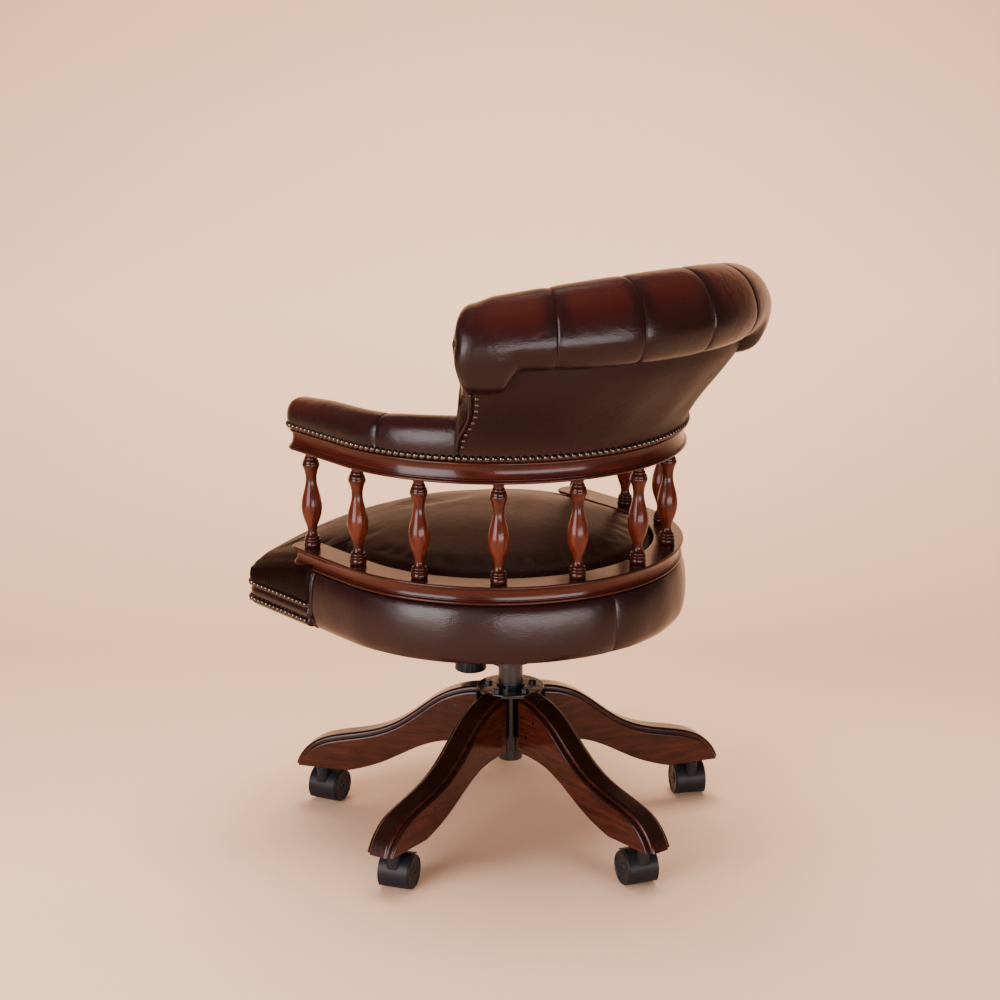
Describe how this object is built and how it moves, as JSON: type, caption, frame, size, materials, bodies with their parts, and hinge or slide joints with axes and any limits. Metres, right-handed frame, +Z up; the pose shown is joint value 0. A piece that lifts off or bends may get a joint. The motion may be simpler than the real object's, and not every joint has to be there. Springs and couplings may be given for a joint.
{
  "type": "swivel desk chair",
  "caption": "Captain's style swivel desk chair with a deep-buttoned rolled leather back, turned spindle gallery, domed seat and wooden star base on casters.",
  "frame": {"origin": "on the floor under the swivel axis", "axes": "+Z up along the swivel axis, the sitter faces -Y, and +X is to the sitter's left"},
  "size_m": [0.6453, 0.6585, 0.8705],
  "materials": {
    "mahogany": "gloss lacquer",
    "turned_mahogany": "gloss lacquer",
    "plywood": "bare",
    "leather_seat": "soft gloss, rubbed",
    "leather_back": "soft gloss, rubbed",
    "nail_bronze": "antiqued",
    "hub_black": "gloss",
    "column_black": "satin",
    "bright_steel": "bright",
    "cast_black": "satin paint",
    "knob_black": "moulded",
    "nylon_black": "moulded",
    "cover_cloth": "woven"
  },
  "bodies": {
    "base": {"leg_1": "mahogany", "leg_2": "mahogany", "leg_3": "mahogany", "leg_4": "mahogany", "leg_5": "mahogany", "hub_tube": "hub_black", "hub_plate": "hub_black", "hub_fasteners": "hub_black", "stand_tube": "column_black", "caster_stems": "bright_steel"},
    "swivel_core": {"piston_rod": "bright_steel", "rod_washers": "bright_steel"},
    "mechanism": {"gas_cylinder": "column_black", "mechanism_box": "cast_black", "mechanism_pins": "bright_steel", "tilt_spring": "bright_steel"},
    "lever": {"lift_lever": "bright_steel", "lever_handle": "knob_black"},
    "knob": {"tension_knob": "knob_black"},
    "seat": {"seat_bracket": "cast_black", "bracket_fasteners": "bright_steel", "seat_board": "plywood", "seat_rim": "plywood", "dust_cover": "cover_cloth", "seat_cushion": "leather_seat", "seat_apron": "leather_seat", "lower_rail": "mahogany", "upper_rail": "mahogany", "spindle_1": "turned_mahogany", "spindle_2": "turned_mahogany", "spindle_3": "turned_mahogany", "spindle_4": "turned_mahogany", "spindle_5": "turned_mahogany", "spindle_6": "turned_mahogany", "spindle_7": "turned_mahogany", "spindle_8": "turned_mahogany", "spindle_9": "turned_mahogany", "spindle_10": "turned_mahogany", "arm_pad_left": "leather_back", "arm_pad_right": "leather_back", "back_frame": "plywood", "outside_back": "leather_back", "back_cushion": "leather_back", "back_buttons": "leather_back", "upholstery_nails": "nail_bronze"},
    "caster_1": {"caster_hood_1": "nylon_black"},
    "wheel_1_left": {"wheel_1_left": "nylon_black"},
    "wheel_1_right": {"wheel_1_right": "nylon_black"},
    "caster_2": {"caster_hood_2": "nylon_black"},
    "wheel_2_left": {"wheel_2_left": "nylon_black"},
    "wheel_2_right": {"wheel_2_right": "nylon_black"},
    "caster_3": {"caster_hood_3": "nylon_black"},
    "wheel_3_left": {"wheel_3_left": "nylon_black"},
    "wheel_3_right": {"wheel_3_right": "nylon_black"},
    "caster_4": {"caster_hood_4": "nylon_black"},
    "wheel_4_left": {"wheel_4_left": "nylon_black"},
    "wheel_4_right": {"wheel_4_right": "nylon_black"},
    "caster_5": {"caster_hood_5": "nylon_black"},
    "wheel_5_left": {"wheel_5_left": "nylon_black"},
    "wheel_5_right": {"wheel_5_right": "nylon_black"}
  },
  "joints": [
    {"name": "seat_swivel", "type": "hinge", "parent": "base", "child": "swivel_core", "pos_m": [0, 0, 0.11], "axis": [0, 0, 1], "continuous": true},
    {"name": "lift_slide", "type": "slide", "parent": "swivel_core", "child": "mechanism", "axis": [0, 0, 1], "range_m": [0, 0.09]},
    {"name": "seat_tilt", "type": "hinge", "parent": "mechanism", "child": "seat", "pos_m": [0, -0.05, 0.286], "axis": [-1, 0, 0], "range_deg": [0, 12], "stiffness_Nm_per_rad": 150, "springref_deg": -11.46, "deforming": ["tilt_spring"]},
    {"name": "lever_hinge", "type": "hinge", "parent": "mechanism", "child": "lever", "pos_m": [-0.034, 0.01, 0.288], "axis": [0, 1, 0], "range_deg": [0, 6], "stiffness_Nm_per_rad": 4, "springref_deg": -8.59},
    {"name": "knob_turn", "type": "hinge", "parent": "seat", "child": "knob", "pos_m": [0, -0.095, 0.231], "axis": [0, 0, 1], "continuous": true},
    {"name": "caster_swivel_1", "type": "hinge", "parent": "base", "child": "caster_1", "pos_m": [0.28341, 0.08882, 0.05], "axis": [0, 0, 1], "continuous": true},
    {"name": "wheel_spin_1_left", "type": "hinge", "parent": "caster_1", "child": "wheel_1_left", "pos_m": [0.26627, 0.07851, 0.025], "axis": [-0.515, 0.8572, 0], "continuous": true},
    {"name": "wheel_spin_1_right", "type": "hinge", "parent": "caster_1", "child": "wheel_1_right", "pos_m": [0.26627, 0.07851, 0.025], "axis": [-0.515, 0.8572, 0], "continuous": true},
    {"name": "caster_swivel_2", "type": "hinge", "parent": "base", "child": "caster_2", "pos_m": [0.00311, 0.29698, 0.05], "axis": [0, 0, 1], "continuous": true},
    {"name": "wheel_spin_2_left", "type": "hinge", "parent": "caster_2", "child": "wheel_2_left", "pos_m": [-0.0024, 0.27776, 0.025], "axis": [-0.9613, 0.2756, 0], "continuous": true},
    {"name": "wheel_spin_2_right", "type": "hinge", "parent": "caster_2", "child": "wheel_2_right", "pos_m": [-0.0024, 0.27776, 0.025], "axis": [-0.9613, 0.2756, 0], "continuous": true},
    {"name": "caster_swivel_3", "type": "hinge", "parent": "base", "child": "caster_3", "pos_m": [-0.28149, 0.09473, 0.05], "axis": [0, 0, 1], "continuous": true},
    {"name": "wheel_spin_3_left", "type": "hinge", "parent": "caster_3", "child": "wheel_3_left", "pos_m": [-0.29057, 0.07691, 0.025], "axis": [-0.891, 0.454, 0], "continuous": true},
    {"name": "wheel_spin_3_right", "type": "hinge", "parent": "caster_3", "child": "wheel_3_right", "pos_m": [-0.29057, 0.07691, 0.025], "axis": [-0.891, 0.454, 0], "continuous": true},
    {"name": "caster_swivel_4", "type": "hinge", "parent": "base", "child": "caster_4", "pos_m": [-0.17708, -0.23844, 0.05], "axis": [0, 0, 1], "continuous": true},
    {"name": "wheel_spin_4_left", "type": "hinge", "parent": "caster_4", "child": "wheel_4_left", "pos_m": [-0.19122, -0.25258, 0.025], "axis": [-0.7071, 0.7071, 0], "continuous": true},
    {"name": "wheel_spin_4_right", "type": "hinge", "parent": "caster_4", "child": "wheel_4_right", "pos_m": [-0.19122, -0.25258, 0.025], "axis": [-0.7071, 0.7071, 0], "continuous": true},
    {"name": "caster_swivel_5", "type": "hinge", "parent": "base", "child": "caster_5", "pos_m": [0.17205, -0.24209, 0.05], "axis": [0, 0, 1], "continuous": true},
    {"name": "wheel_spin_5_left", "type": "hinge", "parent": "caster_5", "child": "wheel_5_left", "pos_m": [0.15378, -0.25023, 0.025], "axis": [-0.4067, 0.9135, 0], "continuous": true},
    {"name": "wheel_spin_5_right", "type": "hinge", "parent": "caster_5", "child": "wheel_5_right", "pos_m": [0.15378, -0.25023, 0.025], "axis": [-0.4067, 0.9135, 0], "continuous": true}
  ]
}
